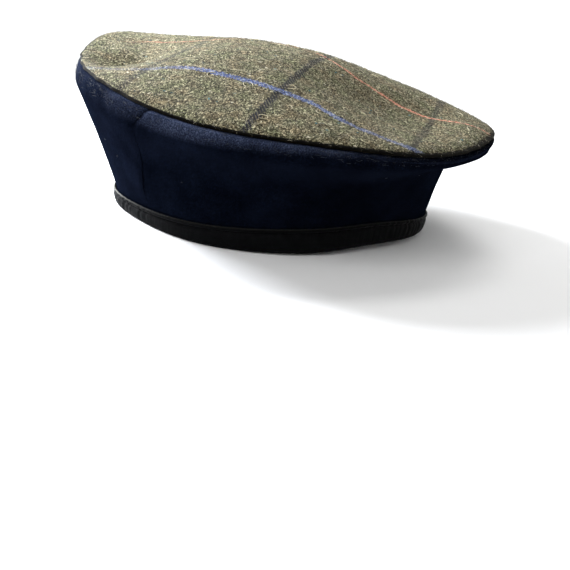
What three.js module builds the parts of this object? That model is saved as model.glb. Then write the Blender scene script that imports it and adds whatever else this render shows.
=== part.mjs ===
// Flat-topped wool beret. A domed round of checked tweed is sewn to a side of two melton
// halves, and a folded leather binding takes the cut edge of the side round the head opening.
// Millimetres, +Z up, the front towards -Y, the wearer's left towards +X. It rests on its binding.
import * as THREE from "three";

// Cloth and leather.
const TWEED_THICKNESS = 1.8;
const MELTON_THICKNESS = 2.0;
const LEATHER_LEAF = 1.3;
const PIECE_GAP = 0.3;

// Crown: a dome over the rim seam that rolls down to the seam at its edge.
const CROWN_RISE = 100.6; // height of the middle of the dome above the table
const DOME_POWER = 1.41; // 1 is a tent, 2 a ball
const DOME_ROUND = 0.2; // share of the reach over which the middle is rounded off
const ROLL_RISE = 3.0; // height of the rolled edge over the seam
const ROLL_WIDTH = 4.0; // how far in the roll fades out
const HOLLOW_FADE = 6; // the hollows die away at the rim by this power of the share
const NORMAL_STEP = 0.004; // share of the reach over which the dome's lean is measured
const SEAM_SETBACK = 0.4; // the dome's edge stands this far inside the side's upper edge

// Side seams: front and back, each leaning round the hat as it climbs from binding to rim.
const FRONT_SEAM_LOW = 5.7; // bearing at the binding, degrees
const FRONT_SEAM_HIGH = 19.8; // bearing at the rim, degrees
const HALF_TURN = 180;

// Binding: a channel of two leaves that holds the side's lower edge.
const TUCK = 6.5; // how far the side reaches down into the channel
const CHANNEL_FLOOR = 1.4;

// Side profile: which way is into the cloth at its key points, in reach and rise, and how
// strongly each point pulls the curve along.
const INTO_WAIST = new THREE.Vector2(-0.87, 0.5);
const INTO_FOLD = new THREE.Vector2(-1.0, 0.2);
const INTO_RIM = new THREE.Vector2(-0.35, -0.9);
const WAIST_PULL = 0.5;
const FOLD_PULL = 0.32;
const LIP_PULL = 1.2;
const RIM_PULL = new THREE.Vector2(-1.0, 0.4);

// Facets. The dome's rings stand closer together towards the rim, where the cloth rolls over.
const CROWN_SEGMENTS = 72;
const CROWN_RING_SHARES = [0.1, 0.2, 0.32, 0.44, 0.56, 0.67, 0.77, 0.85, 0.91, 0.95, 0.975, 0.99, 1];
const PANEL_SEGMENTS = 36;
const BINDING_SEGMENTS = 84;

// One row for each 30 degrees of bearing, from the front round by the wearer's left.
// Reach is measured out from the head's axis and rise up from the table; bandRise is the
// height of the binding above its own lower edge, which lifts off the table by bandLift.
const SECTION_COLUMNS = [
  "bearing", "bandReach", "bandLift", "bandRise",
  "waistReach", "waistRise", "foldReach", "foldRise", "rimReach", "rimRise",
];
const SECTIONS = [
  [0, 95.4, 0.0, 9.2, 105.2, 38, 121.8, 63.4, 117.8, 72.7],
  [30, 98.6, 0.1, 11.4, 106, 38, 124.2, 57.0, 121.5, 64.0],
  [60, 94.3, 1.4, 13.6, 104, 39, 126.0, 54.0, 122.9, 62.0],
  [90, 88.6, 3.7, 13.3, 99.6, 42.9, 124.0, 55.0, 122.4, 60.4],
  [120, 93.7, 3.4, 11.2, 100.1, 46.1, 122.8, 59.0, 121.4, 65.6],
  [150, 97.6, 1.2, 10.0, 106.5, 47.7, 124.0, 64.5, 122.2, 68.4],
  [180, 94.2, 0.0, 9.5, 108.2, 46, 123.3, 69.0, 121.3, 73.8],
  [210, 96.2, 0.0, 9.5, 106, 43, 121.7, 70.1, 119.2, 76.2],
  [240, 91.3, 0.0, 9.5, 102, 42, 120.2, 73.3, 117.7, 81.3],
  [270, 85.8, 0.0, 9.5, 98, 42, 117.6, 77.2, 115.2, 87.6],
  [300, 91.9, 0.0, 9.2, 99.7, 42, 119.6, 82.0, 116.3, 92.0],
  [330, 97.2, 0.0, 8.8, 107.8, 39.9, 120.0, 71.0, 116.9, 80.1],
];

// Soft hollows of the dome: where each lies, how deep it is and how far it spreads. One is a swell.
const HOLLOWS = [
  { bearing: 115.3, reach: 79.1, depth: 7.6, spread: 36.8 },
  { bearing: 95.9, reach: 73.6, depth: 9.7, spread: 65.8 },
  { bearing: 328.5, reach: 112, depth: 12.4, spread: 40.2 },
  { bearing: 302.7, reach: 78.9, depth: 3.6, spread: 35.5 },
  { bearing: 268.9, reach: 77.5, depth: -3, spread: 36.5 },
];

// The side's rows from its tucked edge to the rim: the stretch of the profile, the shares along
// it, and how far up the seams that stretch starts and ends.
const SIDE_ROWS = [
  { stretch: "tuck", shares: [0], seamFrom: 0, seamTo: 0 },
  { stretch: "wall", shares: [0, 0.35, 0.7, 1], seamFrom: 0, seamTo: 0.4 },
  { stretch: "flare", shares: [0.25, 0.5, 0.75, 1], seamFrom: 0.4, seamTo: 0.8 },
  { stretch: "lip", shares: [0.25, 0.5, 0.75, 1], seamFrom: 0.8, seamTo: 1 },
];

// The binding's section, once round: inset from the band's reach, share of the band's rise, and
// height added to it. A groove for the stitches runs under the rolled upper edge.
const CHANNEL_BACK = LEATHER_LEAF + MELTON_THICKNESS + 2 * PIECE_GAP;
const BINDING_BACK = CHANNEL_BACK + LEATHER_LEAF;
const BINDING_SECTION = [
  { inset: 1.9, share: 0, add: 0 },
  { inset: 1.0, share: 0, add: 0.5 },
  { inset: 0.5, share: 0.3, add: 0 },
  { inset: 0.3, share: 0.6, add: 0 },
  { inset: 0.3, share: 1, add: -3.2 },
  { inset: 0.7, share: 1, add: -2.6 },
  { inset: 0.25, share: 1, add: -2.0 },
  { inset: 0.0, share: 1, add: -1.0 },
  { inset: 0.4, share: 1, add: -0.15 },
  { inset: 1.0, share: 1, add: 0 },
  { inset: LEATHER_LEAF, share: 1, add: -0.5 },
  { inset: LEATHER_LEAF, share: 0, add: CHANNEL_FLOOR },
  { inset: CHANNEL_BACK, share: 0, add: CHANNEL_FLOOR },
  { inset: CHANNEL_BACK, share: 1, add: -0.4 },
  { inset: CHANNEL_BACK + 0.5, share: 1, add: 0 },
  { inset: BINDING_BACK, share: 1, add: -0.5 },
  { inset: BINDING_BACK, share: 0, add: 0.6 },
  { inset: BINDING_BACK - 0.6, share: 0, add: 0 },
];

// A section value at any bearing, carried smoothly round the ring of rows.
function section(column, bearing) {
  const index = SECTION_COLUMNS.indexOf(column);
  const count = SECTIONS.length;
  const place = ((((bearing % 360) + 360) % 360) / 360) * count;
  const row = Math.floor(place) % count;
  const f = place - Math.floor(place);
  const [before, here, next, after] = [-1, 0, 1, 2].map((k) => SECTIONS[(row + k + count) % count][index]);
  const bend = 2 * before - 5 * here + 4 * next - after;
  const twist = 3 * (here - next) + after - before;
  return here + 0.5 * f * (next - before + f * (bend + f * twist));
}

// A point of the hat from a bearing, a reach and a rise.
function pointAt(bearing, reach, rise) {
  const turn = THREE.MathUtils.degToRad(bearing);
  return new THREE.Vector3(reach * Math.sin(turn), -reach * Math.cos(turn), rise);
}

// How far the dome has fallen at a share of its reach, before it is scaled to the rim.
function slope(share) {
  return Math.hypot(share, DOME_ROUND) ** DOME_POWER - DOME_ROUND ** DOME_POWER;
}

// The height of the binding's lower edge off the table.
function bandLift(bearing) {
  return Math.max(0, section("bandLift", bearing));
}

// The dome's upper face. Share runs from 0 in the middle to 1 at the rim.
function crownFace(bearing, share) {
  const rim = section("rimReach", bearing) - SEAM_SETBACK;
  const rimRise = section("rimRise", bearing);
  const dome = (CROWN_RISE - rimRise - ROLL_RISE) * (1 - slope(share) / slope(1));
  const roll = ROLL_RISE * (1 - Math.exp((-(1 - share) * rim) / ROLL_WIDTH));
  const point = pointAt(bearing, rim * share, rimRise + dome + roll);
  const fade = 1 - share ** HOLLOW_FADE;
  for (const { bearing: at, reach, depth, spread } of HOLLOWS) {
    const middle = pointAt(at, reach, point.z);
    point.z -= depth * fade * Math.exp(-middle.distanceToSquared(point) / spread ** 2);
  }
  return point;
}

// The dome's under face, one cloth's thickness in along the upper face's normal.
function crownLining(bearing, share) {
  const here = crownFace(bearing, share);
  const inner = crownFace(bearing, Math.max(0, share - NORMAL_STEP));
  const along = crownFace(bearing, share + NORMAL_STEP).sub(inner);
  const round = crownFace(bearing + 1, share).sub(crownFace(bearing - 1, share));
  const normal = share > 0 ? along.cross(round).normalize() : new THREE.Vector3(0, 0, 1);
  return here.addScaledVector(normal, -TWEED_THICKNESS);
}

// A cubic from one key point to the next, in reach and rise.
function cubic(start, startPull, end, endPull, f) {
  const a = 2 * f ** 3 - 3 * f ** 2 + 1;
  const b = f ** 3 - 2 * f ** 2 + f;
  const c = f ** 3 - f ** 2;
  return new THREE.Vector2()
    .addScaledVector(start, a)
    .addScaledVector(startPull, b)
    .addScaledVector(end, 1 - a)
    .addScaledVector(endPull, c);
}

// The side's profile at a bearing, a depth of cloth in from its outer face.
function sideProfile(bearing, stretch, share, depth) {
  const at = (column) => section(column, bearing);
  const inside = LEATHER_LEAF + PIECE_GAP + depth;
  const bandTop = bandLift(bearing) + at("bandRise");
  const tuck = new THREE.Vector2(at("bandReach") - inside, bandTop - TUCK);
  const top = new THREE.Vector2(at("bandReach") - inside, bandTop);
  const waist = new THREE.Vector2(at("waistReach"), at("waistRise")).addScaledVector(INTO_WAIST, depth);
  const fold = new THREE.Vector2(at("foldReach"), at("foldRise")).addScaledVector(INTO_FOLD, depth);
  const rim = new THREE.Vector2(at("rimReach"), at("rimRise")).addScaledVector(INTO_RIM, depth);
  const wallPull = waist.clone().sub(top);
  const waistPull = fold.clone().sub(top).multiplyScalar(WAIST_PULL);
  const foldPull = new THREE.Vector2(0, FOLD_PULL * fold.distanceTo(waist));
  const lip = fold.distanceTo(rim);
  if (stretch === "tuck") return tuck.lerp(top, share);
  if (stretch === "wall") return cubic(top, wallPull, waist, waistPull, share);
  if (stretch === "flare") return cubic(waist, waistPull, fold, foldPull, share);
  return cubic(fold, new THREE.Vector2(0, LIP_PULL * lip), rim, RIM_PULL.clone().multiplyScalar(lip), share);
}

// A closed surface from a list of corner points and the corners of its triangles.
function surface(points, index) {
  const geometry = new THREE.BufferGeometry().setFromPoints(points);
  geometry.setIndex(index);
  geometry.computeVertexNormals();
  return geometry;
}

// The dome: a fan round the middle, rings out to the rim, and the cut edge there.
function crownGeometry() {
  const points = [];
  const index = [];
  for (const face of [crownFace, crownLining]) {
    points.push(face(0, 0));
    for (const share of CROWN_RING_SHARES)
      for (let k = 0; k < CROWN_SEGMENTS; k++) points.push(face((k * 360) / CROWN_SEGMENTS, share));
  }
  const lining = points.length / 2;
  const rim = CROWN_RING_SHARES.length - 1;
  const id = (face, ring, k) => face + 1 + ring * CROWN_SEGMENTS + (k % CROWN_SEGMENTS);
  const quad = (a, b, c, d) => index.push(a, b, c, a, c, d);
  for (let k = 0; k < CROWN_SEGMENTS; k++) {
    index.push(0, id(0, 0, k), id(0, 0, k + 1));
    index.push(lining, id(lining, 0, k + 1), id(lining, 0, k));
    for (let ring = 0; ring < rim; ring++) {
      quad(id(0, ring, k), id(0, ring + 1, k), id(0, ring + 1, k + 1), id(0, ring, k + 1));
      quad(id(lining, ring, k + 1), id(lining, ring + 1, k + 1), id(lining, ring + 1, k), id(lining, ring, k));
    }
    quad(id(0, rim, k), id(lining, rim, k), id(lining, rim, k + 1), id(0, rim, k + 1));
  }
  return surface(points, index);
}

// One row of a half of the side, from the seam at a turn of the hat round to the other seam.
function panelRow(turn, { stretch, seamFrom, seamTo }, share, depth) {
  const climb = THREE.MathUtils.lerp(seamFrom, seamTo, share);
  const seam = turn + THREE.MathUtils.lerp(FRONT_SEAM_LOW, FRONT_SEAM_HIGH, climb);
  const gap = THREE.MathUtils.radToDeg(PIECE_GAP / 2 / sideProfile(seam, stretch, share, depth).x);
  return Array.from({ length: PANEL_SEGMENTS + 1 }, (_, k) => {
    const bearing = seam + gap + ((HALF_TURN - 2 * gap) * k) / PANEL_SEGMENTS;
    const at = sideProfile(bearing, stretch, share, depth);
    return pointAt(bearing, at.x, at.y);
  });
}

// One half of the side: its outer face, its inner face, and the four cut edges between them.
function panelGeometry(turn) {
  const points = [];
  const index = [];
  for (const depth of [0, MELTON_THICKNESS])
    for (const stretchRow of SIDE_ROWS)
      for (const share of stretchRow.shares) points.push(...panelRow(turn, stretchRow, share, depth));
  const columns = PANEL_SEGMENTS + 1;
  const lining = points.length / 2;
  const rows = lining / columns;
  const id = (face, row, k) => face + row * columns + k;
  const quad = (a, b, c, d) => index.push(a, b, c, a, c, d);
  for (let k = 0; k < PANEL_SEGMENTS; k++) {
    for (let row = 0; row + 1 < rows; row++) {
      quad(id(0, row, k), id(0, row, k + 1), id(0, row + 1, k + 1), id(0, row + 1, k));
      quad(id(lining, row, k + 1), id(lining, row, k), id(lining, row + 1, k), id(lining, row + 1, k + 1));
    }
    quad(id(0, 0, k + 1), id(0, 0, k), id(lining, 0, k), id(lining, 0, k + 1));
    quad(id(0, rows - 1, k), id(0, rows - 1, k + 1), id(lining, rows - 1, k + 1), id(lining, rows - 1, k));
  }
  for (let row = 0; row + 1 < rows; row++) {
    const end = PANEL_SEGMENTS;
    quad(id(0, row, 0), id(0, row + 1, 0), id(lining, row + 1, 0), id(lining, row, 0));
    quad(id(0, row + 1, end), id(0, row, end), id(lining, row, end), id(lining, row + 1, end));
  }
  return surface(points, index);
}

// The binding: its section carried once round the head opening.
function bindingGeometry() {
  const points = [];
  const index = [];
  for (let k = 0; k < BINDING_SEGMENTS; k++) {
    const bearing = (k * 360) / BINDING_SEGMENTS;
    for (const { inset, share, add } of BINDING_SECTION) {
      const rise = bandLift(bearing) + share * section("bandRise", bearing) + add;
      points.push(pointAt(bearing, section("bandReach", bearing) - inset, rise));
    }
  }
  const count = BINDING_SECTION.length;
  const id = (k, corner) => (k % BINDING_SEGMENTS) * count + (corner % count);
  for (let k = 0; k < BINDING_SEGMENTS; k++)
    for (let corner = 0; corner < count; corner++) {
      index.push(id(k, corner), id(k + 1, corner), id(k + 1, corner + 1));
      index.push(id(k, corner), id(k + 1, corner + 1), id(k, corner + 1));
    }
  return surface(points, index);
}

function piece(name, geometry, colour, roughness) {
  const mesh = new THREE.Mesh(geometry, new THREE.MeshStandardMaterial({ color: colour, roughness }));
  mesh.name = name;
  return mesh;
}

const beret = new THREE.Group();
beret.name = "beret";
beret.add(
  piece("crown_top", crownGeometry(), 0x7d7a69, 0.95),
  piece("side_left", panelGeometry(0), 0x10182a, 0.95),
  piece("side_right", panelGeometry(HALF_TURN), 0x10182a, 0.95),
  piece("binding", bindingGeometry(), 0x141518, 0.5),
);

// The frame: the middle of the hat's own box, with the table at zero.
const box = new THREE.Box3().setFromObject(beret);
const middle = box.getCenter(new THREE.Vector3());
for (const mesh of beret.children) mesh.geometry.translate(-middle.x, -middle.y, -box.min.z);

export default beret;
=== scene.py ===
# %% [markdown]
# # A checked wool beret
# The hat is sewn from three materials: a domed round of tweed on top, a flared side of navy melton in two
# halves, and a narrow strip of black leather folded over the edge of the head opening. The lesson loads
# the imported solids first. The modelled cloth then takes their place, at the same size.

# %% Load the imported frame
import math

import bpy
import numpy as np
from mathutils import Matrix, Vector


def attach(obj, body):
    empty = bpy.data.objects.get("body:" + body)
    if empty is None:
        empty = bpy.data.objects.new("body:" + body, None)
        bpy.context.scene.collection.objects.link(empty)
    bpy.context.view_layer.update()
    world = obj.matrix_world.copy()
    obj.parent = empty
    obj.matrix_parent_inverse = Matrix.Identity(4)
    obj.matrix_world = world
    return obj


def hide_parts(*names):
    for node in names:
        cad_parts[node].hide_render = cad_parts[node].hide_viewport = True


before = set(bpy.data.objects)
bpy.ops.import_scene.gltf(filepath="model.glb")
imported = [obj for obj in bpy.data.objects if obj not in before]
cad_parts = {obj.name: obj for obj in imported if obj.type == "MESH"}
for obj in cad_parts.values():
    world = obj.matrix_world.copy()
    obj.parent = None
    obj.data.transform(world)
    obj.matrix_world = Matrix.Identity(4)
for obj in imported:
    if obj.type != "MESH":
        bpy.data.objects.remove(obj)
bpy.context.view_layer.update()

# %% [markdown]
# ## The form
# A hatter would describe this shape by its seams: where the band sits, where the side is narrowest, where
# it folds, and where the tweed is sewn on. The table holds those heights and reaches in millimetres every
# 30 degrees round the head, and a smooth closed curve runs through each column. Bearings turn from the
# front of the hat towards the wearer's left.

# %% Seams of the hat, in mm
MM = 0.001
COLUMNS = ("bearing", "band_reach", "band_lift", "band_rise", "waist_reach", "waist_rise",
           "fold_reach", "fold_rise", "rim_reach", "rim_rise")
SECTIONS = np.array([
    (0, 95.4, 0.0, 9.2, 105.2, 38, 121.8, 63.4, 117.8, 72.7),
    (30, 98.6, 0.1, 11.4, 106, 38, 124.2, 57.0, 121.5, 64.0),
    (60, 94.3, 1.4, 13.6, 104, 39, 126.0, 54.0, 122.9, 62.0),
    (90, 88.6, 3.7, 13.3, 99.6, 42.9, 124.0, 55.0, 122.4, 60.4),
    (120, 93.7, 3.4, 11.2, 100.1, 46.1, 122.8, 59.0, 121.4, 65.6),
    (150, 97.6, 1.2, 10.0, 106.5, 47.7, 124.0, 64.5, 122.2, 68.4),
    (180, 94.2, 0.0, 9.5, 108.2, 46, 123.3, 69.0, 121.3, 73.8),
    (210, 96.2, 0.0, 9.5, 106, 43, 121.7, 70.1, 119.2, 76.2),
    (240, 91.3, 0.0, 9.5, 102, 42, 120.2, 73.3, 117.7, 81.3),
    (270, 85.8, 0.0, 9.5, 98, 42, 117.6, 77.2, 115.2, 87.6),
    (300, 91.9, 0.0, 9.2, 99.7, 42, 119.6, 82.0, 116.3, 92.0),
    (330, 97.2, 0.0, 8.8, 107.8, 39.9, 120.0, 71.0, 116.9, 80.1),
])
ROW_STEP = 30.0


def seam(name, bearing):
    """One column of the table at any bearing, on a smooth closed curve."""
    column = SECTIONS[:, COLUMNS.index(name)]
    step = np.mod(bearing, 360.0) / ROW_STEP
    row = np.floor(step).astype(int)
    part = step - row
    before, here, after, later = (column[(row + k) % len(column)] for k in (-1, 0, 1, 2))
    bend = 2 * before - 5 * here + 4 * after - later + part * (3 * (here - after) + later - before)
    return here + 0.5 * part * (after - before + part * bend)


# The frame's origin is the middle of the hat's box, and its widest line is the fold.
ROUND = np.arange(0.0, 360.0, 0.5)
FOLD_X = seam("fold_reach", ROUND) * np.sin(np.radians(ROUND))
FOLD_Y = -seam("fold_reach", ROUND) * np.cos(np.radians(ROUND))
HEAD_AXIS = (-(FOLD_X.max() + FOLD_X.min()) / 2, -(FOLD_Y.max() + FOLD_Y.min()) / 2)
print("head axis in plan, mm:", [round(v, 3) for v in HEAD_AXIS])

# %% Helpers for placing points
def place(bearing, reach, rise):
    """Points in metres from a bearing in degrees and two lengths in mm."""
    turn = np.radians(bearing)
    x = HEAD_AXIS[0] + reach * np.sin(turn)
    y = HEAD_AXIS[1] - reach * np.cos(turn)
    return np.stack(np.broadcast_arrays(x, y, rise), axis=-1) * MM


def ease(value, low, high):
    """0 at low and 1 at high, with a smooth step between."""
    t = np.clip((value - low) / (high - low), 0.0, 1.0)
    return t * t * (3 - 2 * t)


def past(bearing, middle):
    """Degrees from the middle to a bearing, the short way round."""
    return (bearing - middle + 180) % 360 - 180


def near(bearing, middle, spread):
    """1 at the middle, fading to nothing some two spreads to either side."""
    return np.exp(-(past(bearing, middle) / spread) ** 2)


def lumps(p, q, size, seed):
    """Soft unevenness of hand-sewn cloth: a few crossing waves about size mm long, near -1 to 1."""
    dice = np.random.default_rng(seed)
    waves, shortest, longest = 14, 0.7, 1.6
    total = 0.0
    for _ in range(waves):
        heading = dice.uniform(0, math.tau)
        pull = math.tau / (size * dice.uniform(shortest, longest))
        start = dice.uniform(0, math.tau)
        total = total + np.cos(pull * (p * math.cos(heading) + q * math.sin(heading)) + start)
    return total / math.sqrt(waves)


print("a spread away from the middle:", round(float(near(20.0, 0.0, 20.0)), 3))

# %% Helpers for meshes
SMOOTH_ANGLE = math.radians(50)


def points_of(piece):
    """The piece's vertices as an array."""
    flat = np.empty(len(piece.data.vertices) * 3)
    piece.data.vertices.foreach_get("co", flat)
    return flat.reshape(-1, 3)


def move_points(piece, points):
    """Put every vertex of the piece at its new place."""
    piece.data.vertices.foreach_set("co", points.ravel())
    piece.data.update()


def mark(piece, name, values):
    """Store one number for each vertex, for a material to read."""
    piece.data.attributes.new(name, "FLOAT", "POINT").data.foreach_set("value", values)


def only(piece):
    """Select one piece and nothing else."""
    bpy.ops.object.select_all(action="DESELECT")
    piece.select_set(True)
    bpy.context.view_layer.objects.active = piece


def turn_out(piece, outward):
    """Flip the faces of a sheet if their mean lean outwards is negative."""
    if outward >= 0:
        return
    only(piece)
    bpy.ops.object.mode_set(mode="EDIT")
    bpy.ops.mesh.select_all(action="SELECT")
    bpy.ops.mesh.flip_normals()
    bpy.ops.object.mode_set(mode="OBJECT")


def thicken(piece, thickness):
    """Give a sheet its cloth thickness on the inside, and smooth its shading."""
    only(piece)
    wall = piece.modifiers.new("cloth", "SOLIDIFY")
    wall.thickness = thickness * MM
    wall.offset = -1.0
    bpy.ops.object.modifier_apply(modifier=wall.name)
    bpy.ops.object.shade_smooth_by_angle(angle=SMOOTH_ANGLE)


print("edges sharper than", round(math.degrees(SMOOTH_ANGLE)), "degrees stay crisp")

# %% [markdown]
# ## The camera
# The hat is seen from its front left, a little above, with the picture turned a few degrees. Aiming a
# camera at a target would lose that turn, so the three camera axes are built from the fitted numbers: the
# bearing and height of the eye, the turn of the picture, and the pixel where the head axis meets the table.

# %% Camera
PICTURE = 570.0
FOCAL_PX = 708.5
EYE_DISTANCE = 450.0
EYE_BEARING = 50.0
EYE_HEIGHT = 13.99
PICTURE_TURN = 6.99
AXIS_PIXEL = (271.6, 209.6)
SENSOR = 36.0

turn, lift, roll = np.radians((EYE_BEARING, EYE_HEIGHT, PICTURE_TURN))
to_eye = np.array((math.sin(turn) * math.cos(lift), -math.cos(turn) * math.cos(lift), math.sin(lift)))
right = np.cross(-to_eye, (0, 0, 1))
right /= np.linalg.norm(right)
upward = np.cross(right, -to_eye)
axes = np.array((right * math.cos(roll) + upward * math.sin(roll),
                 upward * math.cos(roll) - right * math.sin(roll), -to_eye))
# The axes are swung so that the head axis falls on its pixel instead of the middle of the picture.
ray = np.array(((AXIS_PIXEL[0] - PICTURE / 2) / FOCAL_PX, (PICTURE / 2 - AXIS_PIXEL[1]) / FOCAL_PX, 1.0))
ray /= np.linalg.norm(ray)
swing = np.cross((0, 0, 1), ray)
cross = np.array(((0, -swing[2], swing[1]), (swing[2], 0, -swing[0]), (-swing[1], swing[0], 0)))
axes = (np.eye(3) + cross + cross @ cross / (1 + ray[2])) @ axes
eye = (to_eye * EYE_DISTANCE + np.array((*HEAD_AXIS, 0.0))) * MM

bpy.ops.object.select_all(action="DESELECT")
bpy.ops.object.camera_add()
camera = bpy.context.object
camera.name = "camera"
camera.data.sensor_width = SENSOR
camera.data.lens = FOCAL_PX / PICTURE * SENSOR
pose = np.eye(4)
pose[:3, 0], pose[:3, 1], pose[:3, 2], pose[:3, 3] = axes[0], axes[1], -axes[2], eye
camera.matrix_world = Matrix(pose.tolist())
bpy.context.scene.camera = camera
print("camera at", eye.round(4), "lens", round(camera.data.lens, 2))

# %% [markdown]
# ## Colours and nodes
# Every colour is written as the sRGB value that the eye reads on a screen, and one function turns it to the
# linear light that Blender works with. One more function adds a shader node, sets it and links it, so a
# material below reads as a list of what it is made of.

# %% Colour and node helpers
# A Mix node has sockets of the same name for numbers and for colours, so they are called by their places.
NUMBER_A, NUMBER_B, NUMBER_OUT = 2, 3, 0
COLOUR_A, COLOUR_B, COLOUR_OUT = 6, 7, 2


def linear(hexed):
    """A hex colour as linear RGBA."""
    shades = [int(hexed[k:k + 2], 16) / 255 for k in (1, 3, 5)]
    return tuple(s / 12.92 if s <= 0.04045 else ((s + 0.055) / 1.055) ** 2.4 for s in shades) + (1.0,)


def node(tree, kind, inputs=None, stops=None, **settings):
    """Add one node with its settings, its inputs (a value or a link) and, for a ramp, its stops."""
    made = tree.nodes.new(kind)
    for name, value in settings.items():
        setattr(made, name, value)
    for name, value in (inputs or {}).items():
        if isinstance(value, bpy.types.NodeSocket):
            tree.links.new(value, made.inputs[name])
        else:
            made.inputs[name].default_value = value
    if stops:
        ramp = made.color_ramp.elements
        for end in (0, -1):
            ramp[end].position = stops[end][0]
            ramp[end].color = linear(stops[end][1])
        for where, hexed in stops[1:-1]:
            ramp.new(where).color = linear(hexed)
    return made


def new_material(name):
    """An empty node material, its tree and its output node."""
    made = bpy.data.materials.new(name)
    made.use_nodes = True
    made.node_tree.nodes.clear()
    return made, made.node_tree, made.node_tree.nodes.new("ShaderNodeOutputMaterial")


print("white is", linear("#ffffff"))

# %% [markdown]
# ## The floor and the light
# Product pictures are taken on a white sweep: a table whose back edge curves up, so that no line shows
# behind the object. A disc has its edge extruded outwards and upwards in a few rings. A small soft lamp
# stands close to one side of the hat, so the light falls off across the tweed. A broad lamp in front lights
# the side, a third one on the backdrop keeps the paper white, and a pale sky fills the shade.

# %% White sweep
FLOOR_RADIUS, FLOOR_SPOKES = 1.3, 96
SWEEP_RADIUS, SWEEP_RINGS = 0.9, 10
WALL = 0.6

bpy.ops.object.select_all(action="DESELECT")
bpy.ops.mesh.primitive_circle_add(vertices=FLOOR_SPOKES, radius=FLOOR_RADIUS, fill_type="NGON")
floor = bpy.context.object
floor.name = "floor"
bpy.ops.object.mode_set(mode="EDIT")
bpy.ops.mesh.select_mode(type="EDGE")
bpy.ops.mesh.select_all(action="SELECT")
bpy.ops.mesh.region_to_loop()
reach, height = FLOOR_RADIUS, 0.0
for ring in range(1, SWEEP_RINGS + 1):
    angle = math.pi / 2 * ring / SWEEP_RINGS
    next_reach = FLOOR_RADIUS + SWEEP_RADIUS * math.sin(angle)
    next_height = SWEEP_RADIUS * (1 - math.cos(angle))
    bpy.ops.mesh.extrude_edges_move(TRANSFORM_OT_translate={"value": (0, 0, next_height - height)})
    bpy.ops.transform.resize(value=(next_reach / reach, next_reach / reach, 1))
    reach, height = next_reach, next_height
bpy.ops.mesh.extrude_edges_move(TRANSFORM_OT_translate={"value": (0, 0, WALL)})
bpy.ops.object.mode_set(mode="OBJECT")
bpy.ops.object.shade_smooth()
print("sweep with", len(floor.data.polygons), "faces")

# %% Paper
PAPER_CLOUDS = 3.0  # clouds to a metre

paper, tree, output = new_material("matt white paper")
# Paper is dull and even; a trace of tone keeps it from looking like an empty page.
spot = node(tree, "ShaderNodeTexCoord")
cloudy = node(tree, "ShaderNodeTexNoise", {"Vector": spot.outputs["Object"], "Scale": PAPER_CLOUDS})
tone = node(tree, "ShaderNodeValToRGB", {"Fac": cloudy.outputs["Fac"]},
            stops=((0.3, "#f4f4f3"), (0.7, "#f8f8f8")))
skin = node(tree, "ShaderNodeBsdfPrincipled", {"Base Color": tone.outputs["Color"], "Roughness": 0.9})
tree.links.new(skin.outputs["BSDF"], output.inputs["Surface"])
floor.data.materials.append(paper)
print("paper nodes:", len(tree.nodes))

# %% Lamps and sky
# Each lamp: its name, its place and target in metres, its width, its watts and its tint.
LAMPS = (("key_lamp", (-0.42, -0.16, 0.33), (-0.03, -0.03, 0.07), 0.34, 14.7, "#f4f8ff"),
         ("front_lamp", (0.60, -1.11, 1.14), (0.0, 0.0, 0.0), 1.5, 15.3, "#ffffff"),
         ("backdrop_lamp", (-0.55, 0.50, 1.7), (-1.7, 1.5, 0.2), 1.0, 30.0, "#ffffff"))
SKY_STRENGTH = 0.19

for name, place_at, target, size, watts, tint in LAMPS:
    bpy.ops.object.select_all(action="DESELECT")
    bpy.ops.object.light_add(type="AREA", location=place_at)
    lamp = bpy.context.object
    lamp.name = name
    lamp.data.shape = "DISK"
    lamp.data.size = size
    lamp.data.energy = watts
    lamp.data.color = linear(tint)[:3]
    away = (Vector(place_at) - Vector(target)).normalized()
    lamp.rotation_euler = away.to_track_quat("Z", "Y").to_euler()

sky = bpy.data.worlds.new("studio")
bpy.context.scene.world = sky
sky.use_nodes = True
backdrop = sky.node_tree.nodes["Background"]
backdrop.inputs["Color"].default_value = linear("#ffffff")
backdrop.inputs["Strength"].default_value = SKY_STRENGTH
bpy.context.scene.view_settings.view_transform = "Standard"
print("lamps:", [lamp[0] for lamp in LAMPS], "sky:", SKY_STRENGTH)

# %% [markdown]
# ## Tweed
# Tweed is woven from carded wool that was dyed before spinning, so each yarn is a blend of cream, olive and
# dark brown hairs. The eye sees a salt-and-pepper grain of a millimetre or two, with browner and greener
# patches. A windowpane check is woven in: a broad blue and a thin coral line one way, hatched navy lines
# the other way. A picture of the cloth could be wrapped round the dome, but it would blur and stretch. So
# the cloth is drawn in plan, on Object coordinates, because the round was cut flat.

# %% Tweed: sizes in mm
WARP_BEARING = math.radians(123.7)
WARP_ACROSS = (math.cos(WARP_BEARING), math.sin(WARP_BEARING), 0.0)
WEFT_ACROSS = (math.sin(WARP_BEARING), -math.cos(WARP_BEARING), 0.0)
# The grain is drawn two to three times as coarse as real yarn, and longer across the warp, where the nap
# lies. CURL is how long the waves of a yarn are, and CURL_REACH how far they lead it astray.
WARP_GRAIN, WEFT_GRAIN = (1.8, 1.0, 1.0), (2.6, 0.7, 1.0)
CURL, CURL_REACH = 1.6, (2.0, 2.0, 0.0)
TWILL_STEP = 2.4
WAVE_PULL = 10.0  # a diagonal Wave texture of scale 1 turns by this many radians in each unit
PATCH, FLECK = 9.0, 1.2
FLECK_RARE = (0.985, 0.992)
NUB = 0.5
print("grain:", WARP_GRAIN[:2], "and", WEFT_GRAIN[:2], "mm")

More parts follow.
